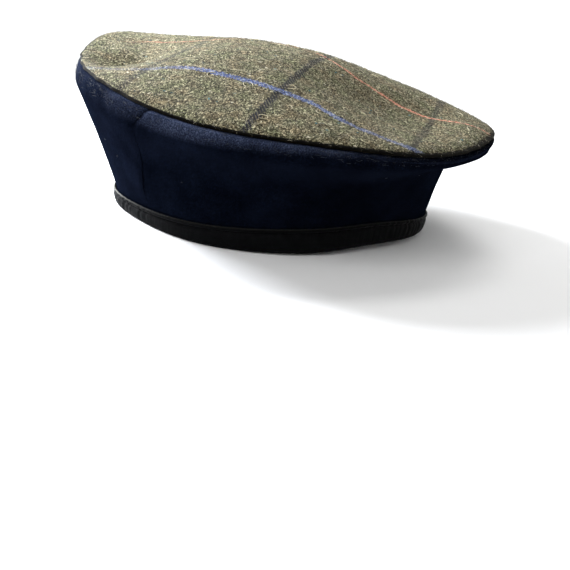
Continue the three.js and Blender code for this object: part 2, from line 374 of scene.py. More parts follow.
# %% Tweed: yarn
tweed, tree, tweed_output = new_material("olive wool tweed")
spot = node(tree, "ShaderNodeTexCoord")
in_mm = node(tree, "ShaderNodeVectorMath", {0: spot.outputs["Object"], "Scale": 1 / MM}, operation="SCALE")
centred = node(tree, "ShaderNodeVectorMath", {0: in_mm.outputs[0], 1: (*HEAD_AXIS, 0.0)},
               operation="SUBTRACT").outputs[0]
across = node(tree, "ShaderNodeVectorMath", {0: centred, 1: WARP_ACROSS},
              operation="DOT_PRODUCT").outputs["Value"]
along = node(tree, "ShaderNodeVectorMath", {0: centred, 1: WEFT_ACROSS},
             operation="DOT_PRODUCT").outputs["Value"]
height = node(tree, "ShaderNodeSeparateXYZ", {0: centred}).outputs["Z"]
woven = node(tree, "ShaderNodeCombineXYZ", {"X": across, "Y": along, "Z": height}).outputs[0]
curl = node(tree, "ShaderNodeTexNoise", {"Vector": woven, "Scale": 1 / CURL, "Detail": 2.0})
curled = node(tree, "ShaderNodeVectorMath", {0: curl.outputs["Color"], 1: CURL_REACH, 2: woven},
              operation="MULTIPLY_ADD").outputs[0]
yarns = []
for grain in (WARP_GRAIN, WEFT_GRAIN):
    pulled = node(tree, "ShaderNodeVectorMath", {0: curled, 1: tuple(1 / size for size in grain)},
                  operation="MULTIPLY")
    yarn = node(tree, "ShaderNodeTexNoise", {"Vector": pulled.outputs[0], "Scale": 1.0, "Detail": 4.0,
                                             "Roughness": 0.7})
    yarns.append(yarn.outputs["Fac"])
rib = node(tree, "ShaderNodeTexWave", {"Vector": curled, "Scale": math.tau / TWILL_STEP / WAVE_PULL},
           bands_direction="DIAGONAL")
heather = node(tree, "ShaderNodeMix", {0: rib.outputs["Fac"], NUMBER_A: yarns[0],
                                       NUMBER_B: yarns[1]}).outputs[NUMBER_OUT]
print("yarn nodes:", len(tree.nodes))

# %% Tweed: colours of the blend
blend = node(tree, "ShaderNodeValToRGB", {"Fac": heather},
             stops=((0.385, "#110f0a"), (0.45, "#2a281d"), (0.50, "#4a4838"), (0.55, "#706c57"),
                    (0.635, "#bab399")))
patch = node(tree, "ShaderNodeTexNoise", {"Vector": woven, "Scale": 1 / PATCH, "Detail": 3.0})
patch_hue = node(tree, "ShaderNodeValToRGB", {"Fac": patch.outputs["Fac"]},
                 stops=((0.36, "#f7eadd"), (0.5, "#fffdf6"), (0.64, "#e9f0de")))
ground = node(tree, "ShaderNodeMix", {0: 1.0, COLOUR_A: blend.outputs["Color"],
                                      COLOUR_B: patch_hue.outputs["Color"]},
              data_type="RGBA", blend_type="MULTIPLY").outputs[COLOUR_OUT]
fleck = node(tree, "ShaderNodeTexVoronoi", {"Vector": curled, "Scale": 1 / FLECK})
fleck_hue = node(tree, "ShaderNodeValToRGB", {"Fac": fleck.outputs["Color"]},
                 stops=((0.0, "#4a3322"), (0.35, "#b4ad96"), (0.65, "#100e0a"), (0.9, "#2a636b")))
fleck_dice = node(tree, "ShaderNodeSeparateColor", {"Color": fleck.outputs["Color"]})
fleck_here = node(tree, "ShaderNodeMapRange", {"Value": fleck_dice.outputs["Blue"],
                                               "From Min": FLECK_RARE[0], "From Max": FLECK_RARE[1]})
flecked = node(tree, "ShaderNodeMix", {0: fleck_here.outputs[0], COLOUR_A: ground,
                                       COLOUR_B: fleck_hue.outputs["Color"]},
               data_type="RGBA").outputs[COLOUR_OUT]
print("with flecks:", len(tree.nodes), "nodes")

# %% [markdown]
# ### The check
# Each line is a distance from the nearest line of its set, made ragged by the same noise that curls the
# yarn, so that its edge breaks up as wool does. Blocking has stretched the cloth, so the blue and the coral
# line wander by some millimetres: each wander is a few soft steps along the line. The twill crosses every
# line as a hatch, and the ground shows between the floats. It shows most in the navy lines.

# %% Tweed: one line of the check, in mm
RAGGED = 1.3
LINE_SOFT = 0.5
HATCH_STEP, HATCH_SLANT = 2.9, 1.55
FLOAT_EDGE = 0.3
DYE_STOPS = (0.38, 0.50, 0.63)

ragged = node(tree, "ShaderNodeMapRange", {"Value": curl.outputs["Fac"], "From Min": 0.25, "From Max": 0.75,
                                           "To Min": -RAGGED, "To Max": RAGGED}).outputs[0]
hatch_way = node(tree, "ShaderNodeVectorMath", {0: woven, 1: (1.0, HATCH_SLANT, 0.0)},
                 operation="DOT_PRODUCT")
hatch_turn = node(tree, "ShaderNodeMath", {0: hatch_way.outputs["Value"], 1: math.tau / HATCH_STEP},
                  operation="MULTIPLY")
hatch = node(tree, "ShaderNodeMath", {0: hatch_turn.outputs[0]}, operation="SINE").outputs[0]


def stepped(run, start, steps):
    """A value along a line that starts at one number and changes in soft steps: from, to, change."""
    value = start
    for low, high, change in steps:
        step = node(tree, "ShaderNodeMapRange",
                    {"Value": run, "From Min": low, "From Max": high, "To Max": change},
                    interpolation_type="SMOOTHSTEP")
        value = node(tree, "ShaderNodeMath", {0: value, 1: step.outputs[0]}, operation="ADD").outputs[0]
    return value


def woven_line(under, way, middle, repeat, wide, dyes, cover, bold):
    """Lay one set of lines over the cloth; cover is how much they hide between and on the floats."""
    off = node(tree, "ShaderNodeMath", {0: way, 1: middle}, operation="SUBTRACT")
    gap = node(tree, "ShaderNodeMath", {0: off.outputs[0], 1: repeat / 2}, operation="PINGPONG")
    edge = node(tree, "ShaderNodeMath", {0: gap.outputs[0], 1: ragged}, operation="ADD")
    line = node(tree, "ShaderNodeMapRange", {"Value": edge.outputs[0], "From Min": wide / 2 + LINE_SOFT,
                                             "From Max": wide / 2 - LINE_SOFT},
                interpolation_type="SMOOTHSTEP")
    floats = node(tree, "ShaderNodeMapRange", {"Value": hatch, "From Min": -FLOAT_EDGE,
                                               "From Max": FLOAT_EDGE, "To Min": cover[0],
                                               "To Max": cover[1]})
    seen = node(tree, "ShaderNodeMath", {0: line.outputs[0], 1: floats.outputs[0]}, operation="MULTIPLY")
    laid = node(tree, "ShaderNodeMath", {0: seen.outputs[0], 1: bold}, operation="MULTIPLY")
    dyed = node(tree, "ShaderNodeValToRGB", {"Fac": heather}, stops=tuple(zip(DYE_STOPS, dyes)))
    return node(tree, "ShaderNodeMix", {0: laid.outputs[0], COLOUR_A: under, COLOUR_B: dyed.outputs["Color"]},
                data_type="RGBA").outputs[COLOUR_OUT]


print("the hatch repeats every", HATCH_STEP, "mm")

# %% Tweed: lines of the check, in mm
WARP_REPEAT, WEFT_REPEAT = 156.4, 69.5
BLUE_AT, CORAL_AT, NAVY_AT = -81.9, -12.7, 18.8
BLUE_WIDE, CORAL_WIDE, NAVY_WIDE = 4.4, 2.0, 4.0
BLUE_WANDER = ((-60, -32, 7.6), (34, 56, -6.2))
CORAL_WANDER = ((-104, -88, 9.0), (-48, -15, 16.0), (8, 45, -12.0), (104, 118, -5.0))
BLUE_DYES = ("#1e2850", "#42527f", "#8a95b0")
CORAL_DYES = ("#8f4a35", "#c67f68", "#e0b09c")
NAVY_DYES = ("#05060a", "#0d0f18", "#222634")
BRIGHT_COVER, NAVY_COVER = (0.6, 1.0), (0.5, 1.0)

blue_at = stepped(along, BLUE_AT, BLUE_WANDER)
coral_at = stepped(along, CORAL_AT, CORAL_WANDER)
# How boldly each line shows changes in soft steps too, because the nap hides some stretches.
blue_bold = stepped(along, 0.2, ((-62, -15, 0.75), (36, 80, -0.3)))
coral_bold = stepped(along, 0.05, ((-104, -80, 0.35), (-5, 30, 0.5)))
navy_bold = stepped(along, 0.65, ((-30, 0, 0.35), (60, 80, -0.3)))
cloth = woven_line(flecked, along, NAVY_AT, WEFT_REPEAT, NAVY_WIDE, NAVY_DYES, NAVY_COVER, navy_bold)
cloth = woven_line(cloth, across, coral_at, WARP_REPEAT, CORAL_WIDE, CORAL_DYES, BRIGHT_COVER, coral_bold)
cloth = woven_line(cloth, across, blue_at, WARP_REPEAT, BLUE_WIDE, BLUE_DYES, BRIGHT_COVER, blue_bold)
print("check repeats every", WARP_REPEAT, "by", WEFT_REPEAT, "mm")

# %% Tweed: painted shade at the edge, and surface
FRAY = 0.16
SHADE_FROM, SHADE_TO = 0.2, 0.85

# Painted shade: where the round turns down into the seam its colour is multiplied by a near-black brown, with
# an edge frayed by the yarn noise.
painted_seam_shade = node(tree, "ShaderNodeAttribute", attribute_name="painted_seam_shade")
frayed = node(tree, "ShaderNodeMath", {0: ragged, 1: FRAY, 2: painted_seam_shade.outputs["Fac"]},
              operation="MULTIPLY_ADD")
in_shade = node(tree, "ShaderNodeMapRange", {"Value": frayed.outputs[0], "From Min": SHADE_FROM,
                                             "From Max": SHADE_TO}, interpolation_type="SMOOTHSTEP")
seam_shaded = node(tree, "ShaderNodeMix", {0: in_shade.outputs[0], COLOUR_A: cloth, COLOUR_B: linear("#15120c")},
             data_type="RGBA", blend_type="MULTIPLY").outputs[COLOUR_OUT]
nubs = node(tree, "ShaderNodeBump", {"Height": heather, "Strength": 0.5, "Distance": NUB * MM})
# Loose wool scatters light, so the cloth is quite dull, with only a trace of warm sheen.
skin = node(tree, "ShaderNodeBsdfPrincipled", {
    "Base Color": seam_shaded, "Normal": nubs.outputs[0], "Roughness": 0.95, "Specular IOR Level": 0.05,
    "Sheen Weight": 0.03, "Sheen Roughness": 0.5, "Sheen Tint": linear("#fff6e0")})
tree.links.new(skin.outputs["BSDF"], tweed_output.inputs["Surface"])
print("tweed nodes:", len(tree.nodes))

# %% [markdown]
# ## Melton
# Melton is wool that was fulled until no weave shows, then cropped to a short even nap. It swallows light
# when seen straight on and turns to a soft blue-grey where the nap stands against the light, most of all on
# the rolled edge, where handling has raised it. Sheen alone would light the whole outline, so a lighter
# blue-grey is mixed in by an attribute: partly raised nap, partly painted sheen where the light falls.

# %% Melton, in mm
FELT_GRAIN, FELT_CLOUD, CLOUD_SHARE = 0.6, 16.0, 0.3
FUZZ = 0.3

melton, tree, output = new_material("navy wool melton")
spot = node(tree, "ShaderNodeTexCoord")
in_mm = node(tree, "ShaderNodeVectorMath", {0: spot.outputs["Object"], "Scale": 1 / MM}, operation="SCALE")
grain = node(tree, "ShaderNodeTexNoise", {"Vector": in_mm.outputs[0], "Scale": 1 / FELT_GRAIN, "Detail": 3.0,
                                          "Roughness": 0.6})
cloud = node(tree, "ShaderNodeTexNoise", {"Vector": in_mm.outputs[0], "Scale": 1 / FELT_CLOUD, "Detail": 2.0})
both = node(tree, "ShaderNodeMix", {0: CLOUD_SHARE, NUMBER_A: grain.outputs["Fac"],
                                    NUMBER_B: cloud.outputs["Fac"]}).outputs[NUMBER_OUT]
flat_nap = node(tree, "ShaderNodeValToRGB", {"Fac": both},
                stops=((0.38, "#010205"), (0.5, "#04060d"), (0.64, "#0a0f1a")))
# Painted sheen and raised nap: a lighter blue-grey for the rolled edge, mixed in where the light falls on it.
raised_nap_and_sheen = node(tree, "ShaderNodeValToRGB", {"Fac": both},
                  stops=((0.36, "#141925"), (0.5, "#2a3144"), (0.66, "#525b73")))
nap_and_sheen = node(tree, "ShaderNodeAttribute", attribute_name="nap_and_sheen")
felt = node(tree, "ShaderNodeMix", {0: nap_and_sheen.outputs["Fac"], COLOUR_A: flat_nap.outputs["Color"],
                                    COLOUR_B: raised_nap_and_sheen.outputs["Color"]},
            data_type="RGBA").outputs[COLOUR_OUT]
fuzz = node(tree, "ShaderNodeBump", {"Height": grain.outputs["Fac"], "Strength": 0.8, "Distance": FUZZ * MM})
# Felted wool has no gloss at all.
skin = node(tree, "ShaderNodeBsdfPrincipled", {
    "Base Color": felt, "Normal": fuzz.outputs[0], "Roughness": 0.95, "Specular IOR Level": 0.0,
    "Sheen Weight": 0.02, "Sheen Roughness": 0.45, "Sheen Tint": linear("#7f92c8")})
tree.links.new(skin.outputs["BSDF"], output.inputs["Surface"])
print("melton nodes:", len(tree.nodes))

# %% [markdown]
# ## Leather
# The binding is thin garment leather, drum-dyed black and finished with a satin top coat. Up close it has a
# fine pebble and small creases that run up the strip where it was eased round the curve. A picture of
# leather would show its repeat along so long a strip, so cells and stretched noise are bumped on instead.
# Along the top of its rolled edge a thin pale line is painted into the dye as a highlight; an attribute marks
# it.

# %% Leather, in mm
PEBBLE, PEBBLE_DEEP = 0.7, 0.1
CREASE_WIDE, CREASE_TALL, CREASE_DEEP = 1.6, 9.0, 0.5
SCUFF = 6.0

leather, tree, output = new_material("black garment leather")
spot = node(tree, "ShaderNodeTexCoord")
in_mm = node(tree, "ShaderNodeVectorMath", {0: spot.outputs["Object"], "Scale": 1 / MM}, operation="SCALE")
upright = node(tree, "ShaderNodeVectorMath", {0: in_mm.outputs[0], 1: (1 / CREASE_WIDE, 1 / CREASE_WIDE,
                                                                       1 / CREASE_TALL)},
               operation="MULTIPLY")
pebble = node(tree, "ShaderNodeTexVoronoi", {"Vector": in_mm.outputs[0], "Scale": 1 / PEBBLE})
crease = node(tree, "ShaderNodeTexNoise", {"Vector": upright.outputs[0], "Scale": 1.0, "Detail": 2.0})
scuff = node(tree, "ShaderNodeTexNoise", {"Vector": in_mm.outputs[0], "Scale": 1 / SCUFF, "Detail": 4.0})
dye = node(tree, "ShaderNodeValToRGB", {"Fac": scuff.outputs["Fac"]},
           stops=((0.35, "#020203"), (0.65, "#060708")))
polish = node(tree, "ShaderNodeMapRange", {"Value": scuff.outputs["Fac"], "From Min": 0.3, "From Max": 0.7,
                                           "To Min": 0.58, "To Max": 0.78})
pebbled = node(tree, "ShaderNodeBump", {"Height": pebble.outputs["Distance"], "Strength": 0.35,
                                        "Distance": PEBBLE_DEEP * MM})
creased = node(tree, "ShaderNodeBump", {"Height": crease.outputs["Fac"], "Strength": 0.5,
                                        "Distance": CREASE_DEEP * MM, "Normal": pebbled.outputs[0]})
# Painted highlight: a pale line mixed into the dye along the top of the rolled edge.
painted_roll_highlight = node(tree, "ShaderNodeAttribute", attribute_name="painted_roll_highlight")
highlighted_dye = node(tree, "ShaderNodeMix", {0: painted_roll_highlight.outputs["Fac"], COLOUR_A: dye.outputs["Color"],
                                        COLOUR_B: linear("#b9b9b0")},
                data_type="RGBA").outputs[COLOUR_OUT]
# The satin coat is old and dry, so its gloss is far weaker than that of new leather.
skin = node(tree, "ShaderNodeBsdfPrincipled", {
    "Base Color": highlighted_dye, "Roughness": polish.outputs[0], "Normal": creased.outputs[0],
    "Specular IOR Level": 0.035, "IOR": 1.5})
tree.links.new(skin.outputs["BSDF"], output.inputs["Surface"])
print("leather nodes:", len(tree.nodes))

# %% [markdown]
# ## The tweed round
# The top is one disc of cloth, steamed over a block until it domes, and rolled over at the rim into its
# seam. It could be a sphere cut in half, but the rim isn't level and the dome isn't round. So a circle is
# extruded inwards ring by ring, with rings crowded at the rim for the roll, and every vertex is then
# lifted to the dome. Solidify gives the cloth its thickness downwards. An attribute marks the last
# millimetre or two, which turn down into the seam, and there the tweed gets painted shade.

# %% Shape of the dome, in mm
CROWN_RISE = 100.6
DOME_POWER, DOME_ROUND = 1.41, 0.2
ROLL_RISE, ROLL_WIDTH = 1.6, 1.8
TIP_BEARING, TIP_SPREAD, TIP_RISE, TIP_WIDTH = 112.0, 20.0, 2.2, 3.6
EDGE_RADIUS, EDGE_LIFT = 1.6, 0.5
OVERHANG, MEAN_RADIUS = 0.4, 115.0
# Where the tweed hangs over further: bearing, spread in degrees, and how much.
OVERHANG_LEANS = ((305.0, 24.0, 1.6), (138.0, 22.0, 1.9))
# Hollows of the dome: bearing, reach, depth and spread. Swells have a negative depth, and the last three
# rows are the small fold over the front seam.
HOLLOWS = ((115.3, 79.1, 7.6, 36.8), (95.9, 73.6, 9.7, 65.8), (328.5, 112.0, 12.4, 40.2),
           (302.7, 78.9, 3.6, 35.5), (268.9, 77.5, -3.0, 36.5), (337.0, 104.0, 6.8, 13.0),
           (334.0, 88.0, 4.6, 12.0), (321.0, 102.0, -4.0, 12.0))
HOLLOW_FADE = 6
# Unevenness: height, length and seed.
EDGE_WOBBLE = (0.45, 10.0, 5)
SWELLS = ((0.35, 55.0, 3), (0.12, 13.0, 4))


def slope(share):
    """How far the dome has dropped at a share of the way out, before it is scaled."""
    return np.hypot(share, DOME_ROUND) ** DOME_POWER - DOME_ROUND ** DOME_POWER


def tweed_edge(bearing):
    """Reach of the tweed's edge, which hangs over the melton most at the hat's two ends."""
    tall, long, seed = EDGE_WOBBLE
    x, y = MEAN_RADIUS * np.sin(np.radians(bearing)), MEAN_RADIUS * np.cos(np.radians(bearing))
    out = seam("rim_reach", bearing) + OVERHANG + tall * lumps(x, y, long, seed)
    for middle, spread, more in OVERHANG_LEANS:
        out = out + more * near(bearing, middle, spread)
    return out


def dome(bearing, share):
    """Reach and rise of the tweed, from 0 at the middle to 1 at its edge."""
    rim, foot = tweed_edge(bearing), seam("rim_rise", bearing)
    reach = share * rim
    x, y = reach * np.sin(np.radians(bearing)), -reach * np.cos(np.radians(bearing))
    tip = near(bearing, TIP_BEARING, TIP_SPREAD)
    roll, roll_width = ROLL_RISE + TIP_RISE * tip, ROLL_WIDTH + TIP_WIDTH * tip
    inward = (1 - share) * rim
    turned = np.clip(inward / EDGE_RADIUS, 0.0, 1.0)
    rise = foot + (CROWN_RISE - foot - roll) * (1 - slope(share) / slope(1.0))
    rise = rise + roll * (1 - np.exp(-inward / roll_width))
    rise = rise + EDGE_LIFT * (1 - np.sqrt(1 - (1 - turned) ** 2))
    calm = 1 - share ** HOLLOW_FADE
    for where, out, depth, spread in HOLLOWS:
        away = (x - out * math.sin(math.radians(where))) ** 2 + (y + out * math.cos(math.radians(where))) ** 2
        rise = rise - depth * calm * np.exp(-away / spread ** 2)
    return reach, rise + calm * sum(tall * lumps(x, y, long, seed) for tall, long, seed in SWELLS)


print("dome at the middle:", np.round(dome(0.0, 0.0), 2))

# %% Tweed round: rings
SPOKES, RINGS, CROWDING = 216, 76, 1.6

bpy.ops.object.select_all(action="DESELECT")
bpy.ops.mesh.primitive_circle_add(vertices=SPOKES, radius=1.0, fill_type="NOTHING")
tweed_round = bpy.context.object
tweed_round.name = "tweed_round"
bpy.ops.object.mode_set(mode="EDIT")
bpy.ops.mesh.select_all(action="SELECT")
share = 1.0
for ring in range(1, RINGS):
    next_share = 1 - (ring / RINGS) ** CROWDING
    bpy.ops.mesh.extrude_edges_move(TRANSFORM_OT_translate={"value": (0, 0, 0)})
    bpy.ops.transform.resize(value=(next_share / share, next_share / share, 1))
    share = next_share
bpy.ops.mesh.merge(type="CENTER")
bpy.ops.mesh.select_all(action="SELECT")
bpy.ops.mesh.normals_make_consistent(inside=False)
bpy.ops.object.mode_set(mode="OBJECT")
print("rings:", RINGS, "faces:", len(tweed_round.data.polygons))

# %% Tweed round: dome and thickness
TWEED_THICKNESS = 1.2
# Painted shade along the tweed's edge, in mm inwards: full up to the first, gone past the second, which grows
# at these bearings (bearing, spread, more).
SEAM_SHADE_FULL, SEAM_SHADE_DEEP = 0.2, 0.5
SEAM_SHADE_LEANS = ((90.0, 40.0, 2.1), (116.0, 16.0, 2.4))

flat_round = points_of(tweed_round)
bearings = np.degrees(np.arctan2(flat_round[:, 0], -flat_round[:, 1]))
reach, rise = dome(bearings, np.minimum(np.hypot(flat_round[:, 0], flat_round[:, 1]), 1.0))
move_points(tweed_round, place(bearings, reach, rise))
# The painted shade at the seam is stored on each vertex of the round, for the tweed to read.
deep = SEAM_SHADE_DEEP + sum(more * near(bearings, middle, spread) for middle, spread, more in SEAM_SHADE_LEANS)
mark(tweed_round, "painted_seam_shade", ease(tweed_edge(bearings) - reach, deep, SEAM_SHADE_FULL))
turn_out(tweed_round, np.mean([face.normal.z for face in tweed_round.data.polygons]))
thicken(tweed_round, TWEED_THICKNESS)
tweed_round.data.materials.append(tweed)
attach(tweed_round, "root")
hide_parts("crown_top")
print("tweed round:", len(tweed_round.data.polygons), "faces")

# %% [markdown]
# ## The melton side
# Two curved halves are sewn together at the front and at the back. Each half goes up from inside the
# binding, leans out, folds over and comes back to the tweed's seam. A tube could be bridged from ring to
# ring, but the seams lean and the cloth puckers along them. A flat grid has one direction for round the
# head and one for up the cloth, so a grid is added for each half and its points are laid on that profile.

# %% Shape of the side, in mm
FRONT_SEAM_LOW, FRONT_SEAM_HIGH = 5.7, 19.8
BAND_WALL, TUCK = 1.6, 6.5
WAIST_PULL, FOLD_PULL, LIP_PULL = 0.5, 0.32, 1.2
RIM_PULL = np.array((-1.0, 0.4))
# Shares of the climb where the tuck, the wall and the flare end. The lip goes on to 1.
TUCK_END, WALL_END, FLARE_END = 0.08, 0.42, 0.80


def swing_between(start, leave, end, arrive, t):
    """A curve from start to end with a pull at each end."""
    t = t[:, None]
    return (start * (1 + 2 * t) * (1 - t) ** 2 + leave * t * (1 - t) ** 2
            + end * t * t * (3 - 2 * t) - arrive * t * t * (1 - t))


def side(bearing, climb):
    """Reach and rise of the melton's outer face, from 0 inside the binding to 1 at the tweed."""
    band_top = seam("band_rise", bearing) + np.maximum(seam("band_lift", bearing), 0.0)
    top = np.stack((seam("band_reach", bearing) - BAND_WALL, band_top), axis=-1)
    waist = np.stack((seam("waist_reach", bearing), seam("waist_rise", bearing)), axis=-1)
    fold = np.stack((seam("fold_reach", bearing), seam("fold_rise", bearing)), axis=-1)
    rim = np.stack((seam("rim_reach", bearing), seam("rim_rise", bearing)), axis=-1)
    through = (fold - top) * WAIST_PULL
    upright = np.stack((np.zeros(len(bearing)), np.linalg.norm(fold - waist, axis=1) * FOLD_PULL), axis=-1)
    short = np.linalg.norm(fold - rim, axis=1)[:, None]
    tuck = top - (1 - np.clip(climb / TUCK_END, 0, 1))[:, None] * np.array((0.0, TUCK))
    wall = swing_between(top, waist - top, waist, through, (climb - TUCK_END) / (WALL_END - TUCK_END))
    flare = swing_between(waist, through, fold, upright, (climb - WALL_END) / (FLARE_END - WALL_END))
    lip = swing_between(fold, short * np.array((0.0, LIP_PULL)), rim, short * RIM_PULL,
                        (climb - FLARE_END) / (1 - FLARE_END))
    zone = np.searchsorted((TUCK_END, WALL_END, FLARE_END), climb)[:, None]
    return np.where(zone == 0, tuck, np.where(zone == 1, wall, np.where(zone == 2, flare, lip)))


print("fold at the front:", side(np.zeros(1), np.array((FLARE_END,))).round(2))

# %% Relief of the side, in mm
# Soft waves: height, length, and what is added to the half's own seed.
WAVES = ((0.4, 60.0, 0), (0.12, 17.0, 5))
PUCKER, PUCKER_TURNS, PUCKER_WIDE = 0.18, 55.0, 7.0
SEAM_DIP, SEAM_DIP_TOP, SEAM_DIP_WIDE = 0.4, 1.5, 2.0
SEAM_RIDGE, SEAM_RIDGE_WIDE = 2.0, 14.0
# The groove under the tweed is deepest at one bearing, and the edge then turns in under the cloth.
GROOVE, GROOVE_MORE, GROOVE_BEARING, GROOVE_SPREAD = 0.5, 2.6, 112.0, 36.0
TURN_IN, TUCKED_UNDER = 3.0, 1.4
# Shares of the climb between which each form comes in or goes out.
WAVES_IN, WAVES_OUT = (TUCK_END, 0.3), (0.88, 1.0)
RIDGE_IN, RIDGE_OUT = (TUCK_END, 0.25), (0.62, 0.86)
DIP_IN, DIP_GROWS = (TUCK_END, 0.16), (0.5, 0.85)
GROOVE_IN, GROOVE_OUT, TURNS_IN = (0.92, 0.97), (0.97, 1.0), (0.965, 1.0)


def relief(bearing, climb, rise, from_seam, seed):
    """How far the cloth stands out from its profile: waves, puckers, and a ridge and a dip at the seams."""
    arc = np.radians(bearing) * MEAN_RADIUS
    free = ease(climb, *WAVES_IN) * (1 - ease(climb, *WAVES_OUT))
    soft = sum(tall * lumps(arc, rise, long, seed + more) for tall, long, more in WAVES)
    pucker = PUCKER * np.cos(climb * PUCKER_TURNS) * np.exp(-from_seam / PUCKER_WIDE)
    ridge = SEAM_RIDGE * np.exp(-from_seam / SEAM_RIDGE_WIDE)
    ridge = ridge * ease(climb, *RIDGE_IN) * (1 - ease(climb, *RIDGE_OUT))
    dip = SEAM_DIP + SEAM_DIP_TOP * ease(climb, *DIP_GROWS)
    dip = dip * np.exp(-(from_seam / SEAM_DIP_WIDE) ** 2) * ease(climb, *DIP_IN)
    return free * (soft + pucker) + ridge - dip - TURN_IN * ease(climb, *TURNS_IN)


def sunk(bearing, climb):
    """How far the cloth sinks into the groove under the tweed's edge."""
    groove = GROOVE + GROOVE_MORE * near(bearing, GROOVE_BEARING, GROOVE_SPREAD)
    return groove * ease(climb, *GROOVE_IN) - (groove - TUCKED_UNDER) * ease(climb, *GROOVE_OUT)


print("groove at its deepest:", GROOVE + GROOVE_MORE, "mm")

# %% Raised nap and painted sheen of the side
# Raised nap and painted sheen are highest left of the front, where the light falls, and hardly at all at a
# seam.
NAP_SHEEN_BEARING, NAP_SHEEN_SPREAD_BEFORE, NAP_SHEEN_SPREAD_AFTER = 40.0, 27.0, 26.0
NAP_SHEEN_ALL_ROUND, NAP_SHEEN_MOST, NAP_SHEEN_END, NAP_SHEEN_END_BEARING, NAP_SHEEN_END_SPREAD = 0.08, 1.05, 0.25, -20.0, 14.0
NAP_SHEEN_LOW, NAP_SHEEN_LOW_MORE, NAP_SHEEN_LOW_LEAN, NAP_SHEEN_TOP = 0.70, 0.15, (-16, 24), 0.99
SEWN_FLAT, SEWN_WIDE = 0.85, 1.1


def nap_and_sheen_height(bearing, climb, from_seam):
    """How much raised nap and painted sheen lighten the melton, from 0 to about 1."""
    off = past(bearing, NAP_SHEEN_BEARING)
    spread = np.where(off < 0, NAP_SHEEN_SPREAD_BEFORE, NAP_SHEEN_SPREAD_AFTER)
    raised = NAP_SHEEN_ALL_ROUND + NAP_SHEEN_MOST * np.exp(-(off / spread) ** 2)
    raised = raised + NAP_SHEEN_END * np.exp(-((off + NAP_SHEEN_BEARING - NAP_SHEEN_END_BEARING) / NAP_SHEEN_END_SPREAD) ** 2)
    sewn = 1 - SEWN_FLAT * np.exp(-(from_seam / SEWN_WIDE) ** 2)
    return raised * sewn * ease(climb, NAP_SHEEN_LOW + NAP_SHEEN_LOW_MORE * ease(off, *NAP_SHEEN_LOW_LEAN), NAP_SHEEN_TOP)


print("nap is highest at bearing", NAP_SHEEN_BEARING)

# %% Melton halves
MELTON_THICKNESS = 1.6
SIDE_COLUMNS, SIDE_ROWS = 300, 100
SEAM_GAP = 0.08
# Each half: its name, its node, the bearing where it starts, and its seed.
HALVES = (("melton_left", "side_left", 0.0, 21), ("melton_right", "side_right", 180.0, 22))

# Each half stores how far raised nap and painted sheen lighten its rolled edge.
for name, node_name, first, seed in HALVES:
    bpy.ops.object.select_all(action="DESELECT")
    bpy.ops.mesh.primitive_grid_add(x_subdivisions=SIDE_COLUMNS, y_subdivisions=SIDE_ROWS, size=2)
    half = bpy.context.object
    half.name = name
    flat_half = (points_of(half) + 1) / 2
    climb = np.clip(flat_half[:, 1], 0.0, 1.0)
    up_seam = np.clip((climb - TUCK_END) / (1 - TUCK_END), 0, 1)
    start = first + FRONT_SEAM_LOW + (FRONT_SEAM_HIGH - FRONT_SEAM_LOW) * up_seam
    bearings = start + SEAM_GAP + flat_half[:, 0] * (180 - 2 * SEAM_GAP)
    from_seam = np.minimum(flat_half[:, 0], 1 - flat_half[:, 0]) * math.pi * MEAN_RADIUS
    reach, rise = side(bearings, climb).T
    out = reach + relief(bearings, climb, rise, from_seam, seed)
    move_points(half, place(bearings, out, rise - sunk(bearings, climb)))
    mark(half, "nap_and_sheen", nap_and_sheen_height(bearings, climb, from_seam))
    turn_out(half, np.mean([face.normal.dot(face.center) for face in half.data.polygons]))
    thicken(half, MELTON_THICKNESS)
    half.data.materials.append(melton)
    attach(half, "root")
    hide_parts(node_name)
    print(name, len(half.data.polygons), "faces")

# %% [markdown]
# ## The leather binding
# A strip of leather is folded over the raw edge of the melton: an outer leaf, an inner leaf and a channel
# between them that holds the cloth. The outer leaf's top edge is turned in, so it shows as a small roll with
# a groove under it, where it is sewn down. A bevelled curve would give a round cord, so the cross-section is
# laid out once and spun round the head axis, and the ring is then pressed to the oval of the opening.

# %% Section of the binding, in mm
SPIN_RADIUS, SPIN_RISE = 94.0, 12.0
# Once round the section: inset from the outside, share of the strip's height, and height added to it.
BINDING_SECTION = ((1.9, 0, 0), (1.0, 0, 0.5), (0.4, 0.3, 0), (0.15, 0.6, 0), (0.1, 1, -4.0), (0.45, 1, -3.3),
                   (1.1, 1, -2.7), (0.5, 1, -2.2), (-0.2, 1, -1.6), (-0.3, 1, -1.0), (0.1, 1, -0.3),
                   (0.8, 1, 0), (1.4, 1, -0.6), (1.4, 0, 1.4), (3.9, 0, 1.4), (3.9, 1, -0.4), (4.4, 1, 0),
                   (5.2, 1, -0.5), (5.2, 0, 0.6), (4.6, 0, 0))
BINDING_STEPS = 360
DOUBLES = 0.01

bpy.ops.object.select_all(action="DESELECT")
bpy.ops.mesh.primitive_circle_add(vertices=len(BINDING_SECTION), radius=1.0, fill_type="NOTHING")
leather_binding = bpy.context.object
leather_binding.name = "leather_binding"
corners = [(0.0, -(SPIN_RADIUS - inset), tall * SPIN_RISE + add) for inset, tall, add in BINDING_SECTION]
move_points(leather_binding, np.array(corners) * MM)
bpy.ops.object.mode_set(mode="EDIT")
bpy.ops.mesh.select_all(action="SELECT")
bpy.ops.mesh.spin(steps=BINDING_STEPS, angle=math.tau, center=(0, 0, 0), axis=(0, 0, 1))
bpy.ops.mesh.select_all(action="SELECT")
bpy.ops.mesh.remove_doubles(threshold=DOUBLES * MM)
bpy.ops.mesh.normals_make_consistent(inside=False)
bpy.ops.object.mode_set(mode="OBJECT")
only(leather_binding)
soften = leather_binding.modifiers.new("soften", "SUBSURF")
soften.levels = 1
